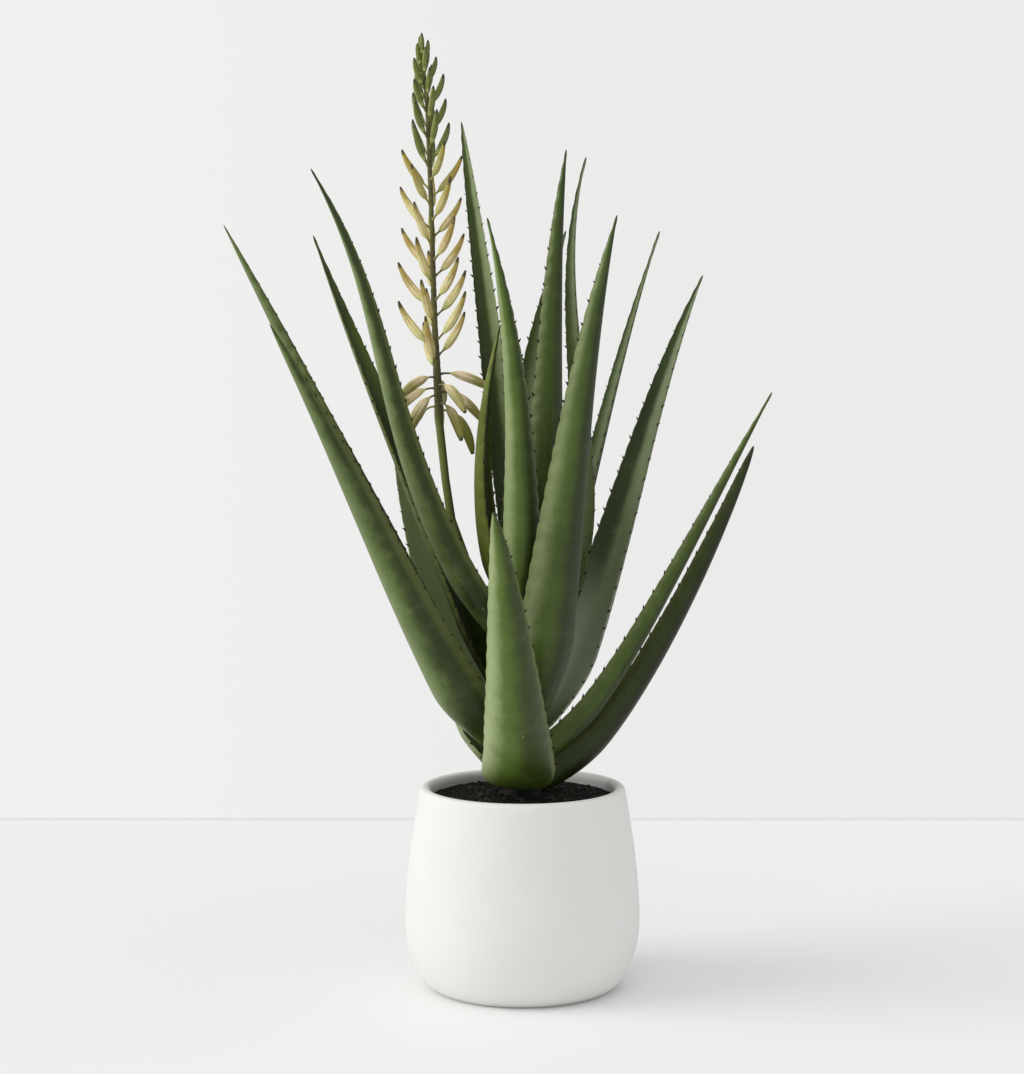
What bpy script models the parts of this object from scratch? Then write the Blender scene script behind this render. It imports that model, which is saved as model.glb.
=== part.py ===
"""Potted aloe in flower: a turned ceramic pot, its soil, a short crown stem, seventeen channelled leaves
in a rosette, and a flower stalk with its tubular flowers. Metres, +Z up, origin at the middle of the
pot's base, +X to the right and -Y to the front."""

from collections import namedtuple
from math import cos, pi, radians, sin, tan

import bmesh
import bpy
from mathutils import Vector
from mathutils.geometry import interpolate_bezier

OBJECT_NAME = "potted_aloe"
GAP = 0.0003

# Pot: radii and heights of the turned body
POT_HEIGHT = 0.1735
POT_LIP_OUTER = 0.0880
POT_LIP_INNER = 0.0787
POT_LIP_DROP = 0.006
POT_BELLY_RADIUS = 0.101
POT_BELLY_HEIGHT = 0.058
POT_FOOT_RADIUS = 0.0796
POT_WALL = 0.009
POT_FLOOR = 0.010
POT_STEPS = 36

# Soil: its level at the wall and at the stem, and the socket that the stem stands in
SOIL_EDGE = 0.1635
SOIL_CENTRE = 0.1665
SOCKET_FLOOR = 0.110
STEM_FOOT_RADIUS = 0.0150
STEM_SOIL_RADIUS = 0.0170
STEM_TOP_RADIUS = 0.0110
STEM_TOP = 0.356
STEM_STEPS = 24

# Leaf cross-section, as shares of the leaf's width
LEAF_SIDES = 10
LEAF_RINGS = 12
LEAF_BELLY = 0.36
LEAF_LIP = 0.03
LEAF_CURL = 0.18
LEAF_FULLNESS = 0.75
LEAF_TIP_WIDTH = 0.0012
FOOT_RADIUS = 0.008
TIP_HANDLE = 0.38

# One leaf: the compass heading of its tip (0 is right, 90 away, 270 to the front), the height of its
# foot on the stem, how far it runs out before it turns up, its lean from upright at the foot and at the
# tip, the distance and height of the tip, its width and taper, the share of that width at its foot and
# the share of its length in which it widens, its roll about its own length at the foot and the tip, and
# its sideways lean at the foot and the tip. Lengths in metres, angles in degrees.
Leaf = namedtuple(
    "Leaf",
    "name heading foot run lean_foot lean_tip reach top width taper clasp swell"
    " roll_foot roll_tip side_foot side_tip",
)
LEAVES = (
    Leaf("leaf_front", 259, 0.187, 0.048, 88, 8, 0.126, 0.4175, 0.066, 0.66, 0.36, 0.12, 0, 0, 4, -7),
    Leaf("leaf_low_right", 22, 0.174, 0.062, 88, 25.5, 0.221, 0.462, 0.037, 0.49, 0.62, 0.2,
         -50, -50, -2, 2.8),
    Leaf("leaf_short_left", 145, 0.181, 0.0265, 80, 17, 0.137, 0.4455, 0.06, 0.775, 0.5, 0.2, -25, -35, 0, 0),
    Leaf("leaf_left", 197, 0.1975, 0.0615, 60, 31, 0.217, 0.5675, 0.0663, 0.69, 0.36, 0.2, 13, -7.5, 0, -0.5),
    Leaf("leaf_far_left", 166, 0.212, 0.074, 46.3, 30.6, 0.268, 0.655, 0.048, 0.68, 0.36, 0.45,
         15, 15, 0, -0.8),
    Leaf("leaf_far_right", 8, 0.198, 0.051, 87, 30, 0.217, 0.51, 0.0275, 0.74, 0.62, 0.2, -50, -50, -1, 1),
    Leaf("leaf_front_right", 300, 0.226, 0.066, 47, 25, 0.148, 0.6525, 0.0625, 0.82, 0.44, 0.2, 0, 0, 0, 1),
    Leaf("leaf_right", 35, 0.217, 0.0765, 61.6, 28.4, 0.197, 0.613, 0.0495, 0.783, 0.42, 0.2, 30, 30, 0, -1),
    Leaf("leaf_dark_left", 160, 0.23, 0.061, 21, 22, 0.194, 0.646, 0.043, 0.8, 0.5, 0.2, -30, -29, 0, 0),
    Leaf("leaf_thin_right", 52, 0.246, 0.079, 37, 31, 0.204, 0.6545, 0.026, 0.83, 0.7, 0.2, 0, 0, 0, 0),
    Leaf("leaf_upper_left", 207, 0.282, 0.225, 34, 38, 0.192, 0.692, 0.04, 0.75, 0.42, 0.2, 5, 5, -8, 13),
    Leaf("leaf_thin_back", 62, 0.276, 0.165, 28, 15, 0.121, 0.717, 0.03, 0.78, 0.62, 0.2, 0, 0, -30, -10),
    Leaf("leaf_centre_left", 250, 0.304, 0.118, 26, 12, 0.085, 0.653, 0.043, 0.84, 0.44, 0.2, 0, 0, 9, -10),
    Leaf("leaf_back_tall", 112, 0.302, 0.1, 27, 14.5, 0.145, 0.7505, 0.034, 0.589, 0.42, 0.42,
         0, -45, -7, 3.4),
    Leaf("leaf_behind_centre", 60, 0.316, 0.112, 13, 16, 0.076, 0.65, 0.043, 0.72, 0.4, 0.2, 0, 0, 13, -10),
    Leaf("leaf_inner_left", 175, 0.324, 0.065, 31, -14, 0.019, 0.568, 0.031, 0.76, 0.6, 0.2, -15, -15, 0, 0),
    Leaf("leaf_tall_centre", 320, 0.334, 0.11, 15, 9, 0.047, 0.712, 0.046, 0.75, 0.42, 0.2, 0, 0, 1, 1),
)

# Flower stalk: the middle of its section (x, y, height) and its radius, from its foot up
STALK = (
    (-0.0152, 0.0067, 0.2850, 0.0036),
    (-0.0300, 0.0105, 0.3180, 0.0038),
    (-0.0450, 0.0150, 0.3570, 0.0039),
    (-0.0610, 0.0200, 0.4010, 0.0038),
    (-0.0660, 0.0200, 0.4350, 0.0036),
    (-0.0710, 0.0200, 0.4820, 0.0036),
    (-0.0730, 0.0200, 0.5250, 0.0034),
    (-0.0750, 0.0200, 0.5670, 0.0026),
    (-0.0780, 0.0200, 0.6740, 0.0021),
    (-0.0810, 0.0200, 0.7580, 0.0019),
    (-0.0850, 0.0200, 0.7920, 0.0014),
    (-0.0860, 0.0200, 0.7985, 0.0009),
)

# Flowers: they stand in a spiral up the stalk, each FLOWER_TURN degrees round from the one below it.
# The lowest hang, the middle ones rise, and the highest are closed buds. The TIP_BUDS highest are too
# crowded to part and belong to the stalk's own tip.
FLOWERS_FROM = 0.4950
FLOWER_TURN = 142.9
FLOWER_FIRST_HEADING = 340.0
DROOPING_TWIST = 41.6
DROOPING_COUNT = 11
CREAM_COUNT = 25
BUD_COUNT = 3
TIP_BUDS = 23
TIP_BUD_SHORTEST = 0.5

# One kind of flower: its lean from upright at the stalk and at its tip, how soon it bends, the step up to
# the next one, its length and colour, and its radius at stations along that length
Flower = namedtuple("Flower", "name lean_start lean_end bend step length colour stations")
DROOPING = Flower(
    "flower_drooping", 58, 171, 0.32, 0.0031, 0.048, (0.45, 0.36, 0.18),
    ((0, 0.0011), (0.10, 0.0009), (0.20, 0.0010), (0.30, 0.0028), (0.46, 0.0041), (0.70, 0.0040),
     (0.92, 0.0028), (1.0, 0.0012)),
)
CREAM = Flower(
    "flower_cream", 66, 30, 0.35, 0.00675, 0.047, (0.62, 0.56, 0.33),
    ((0, 0.0011), (0.08, 0.0009), (0.15, 0.0011), (0.25, 0.0028), (0.42, 0.0035), (0.64, 0.0030),
     (0.88, 0.0018), (1.0, 0.0008)),
)
BUD = Flower(
    "bud_green", 55, 18, 0.4, 0.0052, 0.037, (0.10, 0.13, 0.04),
    ((0, 0.0011), (0.12, 0.0010), (0.24, 0.0020), (0.45, 0.0029), (0.75, 0.0025), (1.0, 0.0008)),
)
DROOPING_LEAST_LEAN = 122
CREAM_LARGEST = 1.06
CREAM_SMALLEST = 0.86
FLOWER_STEM_END = 0.2


def clear_scene():
    for thing in list(bpy.data.objects):
        bpy.data.objects.remove(thing, do_unlink=True)


def new_collection(name):
    made = bpy.data.collections.new(name)
    bpy.context.scene.collection.children.link(made)
    return made


def material(name, colour, roughness):
    made = bpy.data.materials.new(name)
    made.use_nodes = True
    shader = made.node_tree.nodes["Principled BSDF"]
    shader.inputs["Base Color"].default_value = (*colour, 1)
    shader.inputs["Roughness"].default_value = roughness
    shader.inputs["Metallic"].default_value = 0.0
    return made


def add_object(name, data, collection, finish):
    made = bpy.data.objects.new(name, data)
    collection.objects.link(made)
    if finish:
        data.materials.append(finish)
    return made


def shade_round(mesh, angle=40):
    mesh.shade_smooth()
    mesh.set_sharp_from_angle(angle=radians(angle))


# --- Turned pieces ---------------------------------------------------------------------------


def bezier(start, handle_a, handle_b, end, count):
    """Points (radius, height) along one curve, without its last point."""
    ends = [Vector((x, 0, z)) for x, z in (start, handle_a, handle_b, end)]
    return [(p.x, p.z) for p in interpolate_bezier(*ends, count + 1)[:-1]]


def turned(name, profile, steps, collection, finish):
    """A closed solid from an open profile of (radius, height) whose two ends lie on the axis."""
    mesh = bpy.data.meshes.new(name)
    points = [(radius, 0, height) for radius, height in profile]
    mesh.from_pydata(points, [(i, i + 1) for i in range(len(points) - 1)], [])
    made = add_object(name, mesh, collection, finish)
    screw = made.modifiers.new("Turn", "SCREW")
    screw.axis = "Z"
    screw.angle = 2 * pi
    screw.steps = steps
    screw.render_steps = steps
    screw.use_merge_vertices = True
    screw.merge_threshold = 0.00005
    screw.use_smooth_shade = True
    return made


def pot_outside():
    """From below the lip, over the belly, to the edge of the flat base."""
    shoulder = (POT_LIP_OUTER + 0.0008, POT_HEIGHT - POT_LIP_DROP)
    belly = (POT_BELLY_RADIUS, POT_BELLY_HEIGHT)
    foot = (POT_FOOT_RADIUS, 0)
    upper = bezier(shoulder, (0.0952, 0.131), (POT_BELLY_RADIUS, 0.093), belly, 6)
    lower = bezier(belly, (POT_BELLY_RADIUS, 0.033), (0.0905, 0.008), foot, 7)
    return upper + lower + [foot]


def pot_inside():
    """From the middle of the floor up the inner wall to below the lip."""
    corner = (POT_FOOT_RADIUS - 0.012, POT_FLOOR)
    belly = (POT_BELLY_RADIUS - POT_WALL, POT_BELLY_HEIGHT)
    neck = (POT_LIP_INNER, POT_HEIGHT - POT_LIP_DROP)
    lower = bezier(corner, (0.082, POT_FLOOR), (belly[0], 0.036), belly, 5)
    upper = bezier(belly, (belly[0], 0.093), (0.0855, 0.131), neck, 5)
    return [(0, POT_FLOOR)] + lower + upper + [neck]


def pot_lip():
    """The rolled lip between the inner and the outer wall."""
    inner = (POT_LIP_INNER, POT_HEIGHT - POT_LIP_DROP)
    outer = (POT_LIP_OUTER + 0.0008, POT_HEIGHT - POT_LIP_DROP)
    crest = ((inner[0] + outer[0]) / 2, POT_HEIGHT)
    rise = bezier(inner, (inner[0], POT_HEIGHT - 0.002), (crest[0] - 0.003, POT_HEIGHT), crest, 3)
    fall = bezier(crest, (crest[0] + 0.003, POT_HEIGHT), (outer[0] - 0.0004, POT_HEIGHT - 0.002), outer, 3)
    return rise[1:] + fall


def make_pot(collection):
    profile = pot_inside() + pot_lip() + pot_outside() + [(0, 0)]
    turned("pot", profile, POT_STEPS, collection, material("white_ceramic", (0.87, 0.87, 0.85), 0.55))


def soil_wall():
    """The pot's inner wall up to the soil's level, as a list from the soil's edge down to the floor."""
    wall = [p for p in pot_inside()[1:] if p[1] < SOIL_EDGE - 0.004]
    low, high = wall[-1], pot_inside()[-1]
    share = (SOIL_EDGE - low[1]) / (high[1] - low[1])
    edge = (low[0] + share * (high[0] - low[0]), SOIL_EDGE)
    curved = [(radius - 3 * GAP, height + GAP) for radius, height in wall]
    return [(edge[0] - 3 * GAP, edge[1])] + curved[::-1]


def make_soil(collection):
    socket = STEM_SOIL_RADIUS + GAP
    profile = [
        (0, SOCKET_FLOOR),
        (STEM_FOOT_RADIUS + GAP, SOCKET_FLOOR),
        (socket, SOIL_CENTRE),
        (0.045, SOIL_CENTRE - 0.001),
    ]
    profile += soil_wall() + [(0, POT_FLOOR + GAP)]
    turned("soil", profile, POT_STEPS, collection, material("potting_soil", (0.012, 0.011, 0.009), 0.95))


def stem_profile(grown):
    """The stem's side from its rounded top down to its foot, larger all round by grown."""
    return [
        (0, STEM_TOP + grown),
        (STEM_TOP_RADIUS * 0.7 + grown, STEM_TOP - 0.002 + grown),
        (STEM_TOP_RADIUS + grown, STEM_TOP - 0.008),
        (STEM_SOIL_RADIUS - 0.0012 + grown, 0.215),
        (STEM_SOIL_RADIUS + grown, SOIL_CENTRE),
        (STEM_FOOT_RADIUS + grown, SOCKET_FLOOR + GAP - grown),
        (0, SOCKET_FLOOR + GAP - grown),
    ]


def make_stem(collection, cutters):
    finish = material("stem_green", (0.10, 0.13, 0.05), 0.6)
    turned("crown_stem", stem_profile(0), STEM_STEPS, collection, finish)
    clearance = turned("stem_clearance", stem_profile(GAP), STEM_STEPS, cutters, None)
    clearance.hide_render = True
    clearance.display_type = "WIRE"
    return clearance


# --- Leaves ----------------------------------------------------------------------------------


def leaf_axes(leaf):
    heading = radians(leaf.heading)
    outward = Vector((cos(heading), sin(heading), 0))
    across = Vector((-sin(heading), cos(heading), 0))
    return outward, across


def leaning(outward, across, lean, side):
    """A unit vector that leans outward from upright, and sideways."""
    way = outward * sin(radians(lean)) + Vector((0, 0, cos(radians(lean)))) + across * tan(radians(side))
    return way.normalized()


def leaf_spine(leaf, count=60):
    """Evenly spaced points along the middle of the leaf's channel, from foot to tip."""
    outward, across = leaf_axes(leaf)
    foot = outward * FOOT_RADIUS + Vector((0, 0, leaf.foot))
    tip = outward * leaf.reach + Vector((0, 0, leaf.top))
    chord = (tip - foot).length
    first = foot + leaning(outward, across, leaf.lean_foot, leaf.side_foot) * leaf.run
    second = tip - leaning(outward, across, leaf.lean_tip, leaf.side_tip) * chord * TIP_HANDLE
    return even_points(interpolate_bezier(foot, first, second, tip, 200), count)


def even_points(points, count):
    lengths = [0.0]
    for a, b in zip(points, points[1:]):
        lengths.append(lengths[-1] + (b - a).length)
    even = []
    at = 0
    for i in range(count + 1):
        wanted = lengths[-1] * i / count
        while at < len(points) - 2 and lengths[at + 1] < wanted:
            at += 1
        share = (wanted - lengths[at]) / (lengths[at + 1] - lengths[at])
        even.append(points[at].lerp(points[at + 1], share))
    return even


def leaf_width(leaf, t):
    """Narrow at the foot, widest just above it, then tapering to the tip."""
    swell = min(t / leaf.swell, 1.0)
    swell = swell * swell * (3 - 2 * swell)
    foot = leaf.clasp + (1 - leaf.clasp) * swell
    return max(leaf.width * foot * (1 - t) ** leaf.taper, LEAF_TIP_WIDTH)


def leaf_place(leaf, spine, across, t, x, y):
    """Where a point of the stock at (x, y) on its unit circle and t along it goes on the leaf."""
    count = len(spine) - 1
    at = min(int(t * count), count - 1)
    centre = spine[at].lerp(spine[at + 1], t * count - at)
    tangent = (spine[min(at + 2, count)] - spine[max(at - 1, 0)]).normalized()
    side = (across - across.dot(tangent) * tangent).normalized()
    inner = tangent.cross(side)
    roll = radians(leaf.roll_foot + (leaf.roll_tip - leaf.roll_foot) * t)
    side, inner = side * cos(roll) + inner * sin(roll), inner * cos(roll) - side * sin(roll)
    width = leaf_width(leaf, t)
    rounding = LEAF_LIP * y if y > 0 else -LEAF_BELLY * abs(y) ** LEAF_FULLNESS
    depth = LEAF_CURL * x * x + rounding
    return centre + side * (width / 2 * x) + inner * (width * depth)


def leaf_mesh(leaf):
    """A straight round stock, cut into rings and laid along the leaf's spine."""
    stock = bmesh.new()
    bmesh.ops.create_cone(stock, cap_ends=True, segments=LEAF_SIDES, radius1=1, radius2=1, depth=1)
    bmesh.ops.translate(stock, verts=stock.verts, vec=(0, 0, 0.5))
    for i in range(1, LEAF_RINGS):
        height = (i / LEAF_RINGS) ** 1.15
        everything = stock.verts[:] + stock.edges[:] + stock.faces[:]
        bmesh.ops.bisect_plane(stock, geom=everything, plane_co=(0, 0, height), plane_no=(0, 0, 1))
    spine = leaf_spine(leaf)
    across = leaf_axes(leaf)[1]
    for vert in stock.verts:
        x, y, t = vert.co
        vert.co = leaf_place(leaf, spine, across, min(max(t, 0), 1), x, y)
    bmesh.ops.recalc_face_normals(stock, faces=stock.faces)
    mesh = bpy.data.meshes.new(leaf.name)
    stock.to_mesh(mesh)
    stock.free()
    shade_round(mesh, 60)
    return mesh


def make_leaf(leaf, collection, clearance):
    made = add_object(leaf.name, leaf_mesh(leaf), collection, material(leaf.name, (0.12, 0.19, 0.07), 0.45))
    seat = made.modifiers.new("Seat", "BOOLEAN")
    seat.operation = "DIFFERENCE"
    seat.solver = "EXACT"
    seat.object = clearance
    return made


# --- Flower stalk and flowers ----------------------------------------------------------------


def stalk_centre(height):
    """The middle of the stalk at a height above its foot."""
    for (x0, y0, z0, r0), (x1, y1, z1, r1) in zip(STALK, STALK[1:]):
        if height <= z1:
            share = (height - z0) / (z1 - z0)
            return Vector((x0, y0, z0)).lerp(Vector((x1, y1, z1)), share), r0 + (r1 - r0) * share
    return Vector(STALK[-1][:3]), STALK[-1][3]


def tube(name, points, radii):
    """A closed mesh of a round stem through points, each with its own radius."""
    curve = bpy.data.curves.new(name, "CURVE")
    curve.dimensions = "3D"
    curve.bevel_depth = 1.0
    curve.bevel_resolution = 2
    curve.use_fill_caps = True
    spline = curve.splines.new("POLY")
    spline.points.add(len(points) - 1)
    for point, place, radius in zip(spline.points, points, radii):
        point.co = (*place, 1)
        point.radius = radius
    path = bpy.data.objects.new(name + "_path", curve)
    bpy.context.scene.collection.objects.link(path)
    mesh = bpy.data.meshes.new_from_object(path.evaluated_get(bpy.context.evaluated_depsgraph_get()))
    mesh.name = name
    bpy.data.objects.remove(path, do_unlink=True)
    bpy.data.curves.remove(curve)
    shape = bmesh.new()
    shape.from_mesh(mesh)
    bmesh.ops.remove_doubles(shape, verts=shape.verts, dist=0.00002)
    bmesh.ops.recalc_face_normals(shape, faces=shape.faces)
    shape.to_mesh(mesh)
    shape.free()
    shade_round(mesh)
    return mesh


def flower_path(base, heading, kind, leans, length):
    """Points from the stalk outward: a thin curved flower stem, then the flower's tube."""
    outward = Vector((cos(heading), sin(heading), 0))
    points = [base]
    stations = kind.stations
    for before, after in zip(stations, stations[1:]):
        share = (before[0] + after[0]) / 2
        lean = radians(leans[0] + (leans[1] - leans[0]) * share**kind.bend)
        way = outward * sin(lean) + Vector((0, 0, cos(lean)))
        points.append(points[-1] + way * (after[0] - before[0]) * length)
    return points


def flower_places():
    """Number, kind, height, heading, leans at both ends and size of every flower, from the lowest up."""
    kinds = [DROOPING] * DROOPING_COUNT + [CREAM] * CREAM_COUNT + [BUD] * (BUD_COUNT + TIP_BUDS)
    height = FLOWERS_FROM
    for i, kind in enumerate(kinds):
        place = (i - kinds.index(kind)) / (kinds.count(kind) - 1)
        heading = FLOWER_FIRST_HEADING + FLOWER_TURN * i
        lean_start, lean_end = kind.lean_start, kind.lean_end
        size = 1.0
        if kind is DROOPING:
            heading += DROOPING_TWIST
            lean_end += (DROOPING_LEAST_LEAN - kind.lean_end) * place
        if kind is CREAM:
            size = CREAM_LARGEST + (CREAM_SMALLEST - CREAM_LARGEST) * place
        if kind is BUD:
            size = 1.0 + (TIP_BUD_SHORTEST - 1.0) * place
            lean_start *= 1 - place**4
            lean_end *= 1 - place**4
        yield i, kind, height, radians(heading), (lean_start, lean_end), size * (1 + 0.05 * cos(1.7 * i))
        height += kind.step * (size if kind is BUD else 1.0)


def flower_radii(kind, size):
    """The radius at every station: the flower's tube follows the flower's size, its stem does not."""
    return [radius * (size if share > FLOWER_STEM_END else 1.0) for share, radius in kind.stations]


def make_flowers(parts, tip_buds):
    finishes = {kind.name: material(kind.name, kind.colour, 0.5) for kind in (DROOPING, CREAM, BUD)}
    counts = {kind.name: 0 for kind in (DROOPING, CREAM, BUD)}
    flower_count = DROOPING_COUNT + CREAM_COUNT + BUD_COUNT
    for i, kind, height, heading, leans, size in flower_places():
        centre, radius = stalk_centre(height)
        radii = flower_radii(kind, size)
        path = flower_path(centre, heading, kind, leans, kind.length * size)
        if i < flower_count:
            counts[kind.name] += 1
            name = f"{kind.name}_{counts[kind.name]:02d}"
            outward = Vector((cos(heading), sin(heading), 0))
            foot_lean = (path[1] - path[0]).normalized().z
            seat = outward * (radius + GAP + radii[0] * abs(foot_lean))
            mesh = tube(name, [point + seat for point in path], radii)
            add_object(name, mesh, parts, finishes[kind.name])
        else:
            name = f"tip_bud_{i - flower_count + 1:02d}"
            bud = add_object(name, tube(name, path, radii), tip_buds, None)
            bud.hide_render = True
            bud.display_type = "WIRE"


def make_stalk(parts, tip_buds):
    points = [Vector(place[:3]) for place in STALK]
    mesh = tube("flower_stalk", points, [place[3] for place in STALK])
    made = add_object("flower_stalk", mesh, parts, material("stalk_green", (0.07, 0.09, 0.03), 0.5))
    union = made.modifiers.new("Tip buds", "BOOLEAN")
    union.operation = "UNION"
    union.solver = "EXACT"
    union.operand_type = "COLLECTION"
    union.collection = tip_buds


def main():
    clear_scene()
    parts = new_collection(OBJECT_NAME)
    cutters = new_collection("cutters")
    make_pot(parts)
    make_soil(parts)
    clearance = make_stem(parts, cutters)
    for leaf in LEAVES:
        make_leaf(leaf, parts, clearance)
    tip_buds = new_collection("tip_buds")
    make_flowers(parts, tip_buds)
    make_stalk(parts, tip_buds)


main()
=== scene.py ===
# %% [markdown]
# # A potted aloe in flower
#
# The plant stands in a round matt pot: a rosette of long channelled leaves with toothed edges, and
# a stalk of tubular flowers that open from the bottom up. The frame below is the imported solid
# model. Each piece made here stands in the place of one of its solids, with the fine shape and the
# finish that the living plant has.

# %% Load the frame
from collections import namedtuple
from math import cos, pi, radians, sin, tan
from random import Random

import bmesh
import bpy
from mathutils import Matrix, Vector, noise
from mathutils.geometry import interpolate_bezier


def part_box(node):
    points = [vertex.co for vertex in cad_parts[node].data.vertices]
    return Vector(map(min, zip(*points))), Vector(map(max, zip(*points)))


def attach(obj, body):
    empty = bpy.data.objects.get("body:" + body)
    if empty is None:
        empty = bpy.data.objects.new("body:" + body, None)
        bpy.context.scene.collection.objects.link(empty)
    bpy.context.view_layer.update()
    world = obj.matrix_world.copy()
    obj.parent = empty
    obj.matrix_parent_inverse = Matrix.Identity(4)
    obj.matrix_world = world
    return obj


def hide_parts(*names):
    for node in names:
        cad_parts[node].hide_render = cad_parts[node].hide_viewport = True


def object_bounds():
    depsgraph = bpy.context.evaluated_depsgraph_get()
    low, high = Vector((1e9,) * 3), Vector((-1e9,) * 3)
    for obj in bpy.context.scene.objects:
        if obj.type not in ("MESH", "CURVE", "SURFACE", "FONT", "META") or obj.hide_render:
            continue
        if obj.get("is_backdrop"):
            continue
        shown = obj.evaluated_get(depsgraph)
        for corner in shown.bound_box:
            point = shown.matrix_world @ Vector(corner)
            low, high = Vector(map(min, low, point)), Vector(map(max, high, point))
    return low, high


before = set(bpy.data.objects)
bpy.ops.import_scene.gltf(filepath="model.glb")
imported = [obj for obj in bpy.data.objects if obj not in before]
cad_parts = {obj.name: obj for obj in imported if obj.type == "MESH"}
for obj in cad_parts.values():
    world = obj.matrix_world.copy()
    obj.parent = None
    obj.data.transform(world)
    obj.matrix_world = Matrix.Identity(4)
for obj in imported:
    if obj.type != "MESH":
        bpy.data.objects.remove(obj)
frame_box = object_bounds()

BODY = "root"
print("frame box", [round(v, 4) for corner in frame_box for v in corner])

# %% [markdown]
# ## Camera, floor and light
#
# The camera looks slightly down from a couple of metres, so the pot's mouth shows as a thin
# ellipse. The floor ends a little way behind the pot, where the pale wall begins; the wall is
# painted a touch brighter on the left, the side of the light. One large soft light hangs at the
# upper left, and a weak one fills in from the right, so each leaf has a pale and a dark side, which
# the leaf skins also paint in as painted highlight and painted shade.

# %% New objects


def link(name, data):
    """A new object in the scene."""
    made = bpy.data.objects.new(name, data)
    bpy.context.scene.collection.objects.link(made)
    return made


def mesh_from(shape, name):
    """A mesh made from a bmesh, which is freed."""
    mesh = bpy.data.meshes.new(name)
    shape.to_mesh(mesh)
    shape.free()
    return mesh


# %% Camera
CAMERA_PLACE = (-0.009, -2, 0.545)
CAMERA_TILT = 4.5
CAMERA_LENS = 78.9
CAMERA_SENSOR = 36

camera_data = bpy.data.cameras.new("camera")
camera_data.sensor_width = CAMERA_SENSOR
camera_data.lens = CAMERA_LENS
camera = link("camera", camera_data)
camera.location = CAMERA_PLACE
camera.rotation_euler = (radians(90 - CAMERA_TILT), 0, 0)
bpy.context.scene.camera = camera
bpy.context.scene.view_settings.view_transform = "Standard"

# %% Small tools for shader nodes


def srgb(red, green, blue):
    """A colour given in 0 to 255 as the linear colour that a shader takes."""
    parts = [value / 255 for value in (red, green, blue)]
    return (*[v / 12.92 if v < 0.04045 else ((v + 0.055) / 1.055) ** 2.4 for v in parts], 1)


def join(output, target):
    output.id_data.links.new(output, target)


def add(kind, inputs, tree=None, **settings):
    """A new shader node, in the tree of what it is linked to.

    Each of its inputs takes a plain value or another node's output.
    """
    linked = [key for key, value in inputs.items() if isinstance(value, bpy.types.NodeSocket)]
    tree = tree or inputs[linked[0]].id_data
    made = tree.nodes.new("ShaderNode" + kind)
    for key, value in settings.items():
        setattr(made, key, value)
    for key, value in inputs.items():
        if key in linked:
            join(value, made.inputs[key])
        else:
            made.inputs[key].default_value = value
    return made


def mix(factor, low, high, mode="MIX"):
    """One colour laid over another."""
    inputs = {0: factor, 6: low, 7: high}
    return add("Mix", inputs, data_type="RGBA", blend_type=mode).outputs[2]


def lay(colour, coats):
    """Coats laid over a colour in turn, each given as how thick it lies and its own colour."""
    for thickness, coat in coats:
        colour = mix(thickness, colour, coat)
    return colour


def calc(operation, first, second=0):
    return add("Math", {0: first, 1: second}, operation=operation).outputs[0]


def times(first, second):
    return calc("MULTIPLY", first, second)


def fade(value, start, end, low=0, high=1):
    """Goes smoothly from low to high as value goes from start to end."""
    inputs = {0: value, 1: start, 2: end, 3: low, 4: high}
    return add("MapRange", inputs, interpolation_type="SMOOTHSTEP").outputs[0]


def attribute(tree, name):
    return add("Attribute", {}, tree, attribute_name=name).outputs["Fac"]


def place(tree):
    """Each point's own place on the object, in metres."""
    return add("TexCoord", {}, tree).outputs["Object"]


def part_of(vector, axis):
    """One axis, X, Y or Z, of a vector."""
    return add("SeparateXYZ", {0: vector}).outputs[axis]


def stretched(vector, scale):
    return add("Mapping", {"Vector": vector, "Scale": scale}).outputs[0]


def clouds(vector, scale, detail=3, roughness=0.55):
    values = {"Vector": vector, "Scale": scale, "Detail": detail, "Roughness": roughness}
    return add("TexNoise", values).outputs[0]


def new_material(name, roughness, specular=0.5):
    """A material with its Principled shader, whose even values are set on the shader itself."""
    made = bpy.data.materials.new(name)
    made.use_nodes = True
    shader = made.node_tree.nodes["Principled BSDF"]
    shader.inputs["Roughness"].default_value = roughness
    shader.inputs["Specular IOR Level"].default_value = specular
    return made, made.node_tree, shader


def bump(shader, height, distance, strength):
    values = {"Height": height, "Distance": distance, "Strength": strength}
    join(add("Bump", values).outputs[0], shader.inputs["Normal"])


def wear(shader, colour, roughness=None):
    """Gives the shader its colour and, where that varies too, its roughness."""
    join(colour, shader.inputs["Base Color"])
    if roughness:
        join(roughness, shader.inputs["Roughness"])


def new_group(name, inputs, outputs):
    """An empty node group with named number inputs and outputs; Vector is its first input."""
    group = bpy.data.node_groups.new(name, "ShaderNodeTree")
    group.interface.new_socket("Vector", in_out="INPUT", socket_type="NodeSocketVector")
    for socket, value in inputs.items():
        made = group.interface.new_socket(socket, in_out="INPUT", socket_type="NodeSocketFloat")
        made.default_value = value
    for socket in outputs:
        group.interface.new_socket(socket, in_out="OUTPUT", socket_type="NodeSocketFloat")
    return group, group.nodes.new("NodeGroupInput"), group.nodes.new("NodeGroupOutput")


def use_group(group, vector, **values):
    return add("Group", {"Vector": vector, **values}, node_tree=group).outputs[0]


# %% Floor and wall line
FLOOR_WIDTH = 6
FLOOR_FRONT = -3.4
FLOOR_BACK = 0.725
JOINT_WIDTH = 0.02

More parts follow.
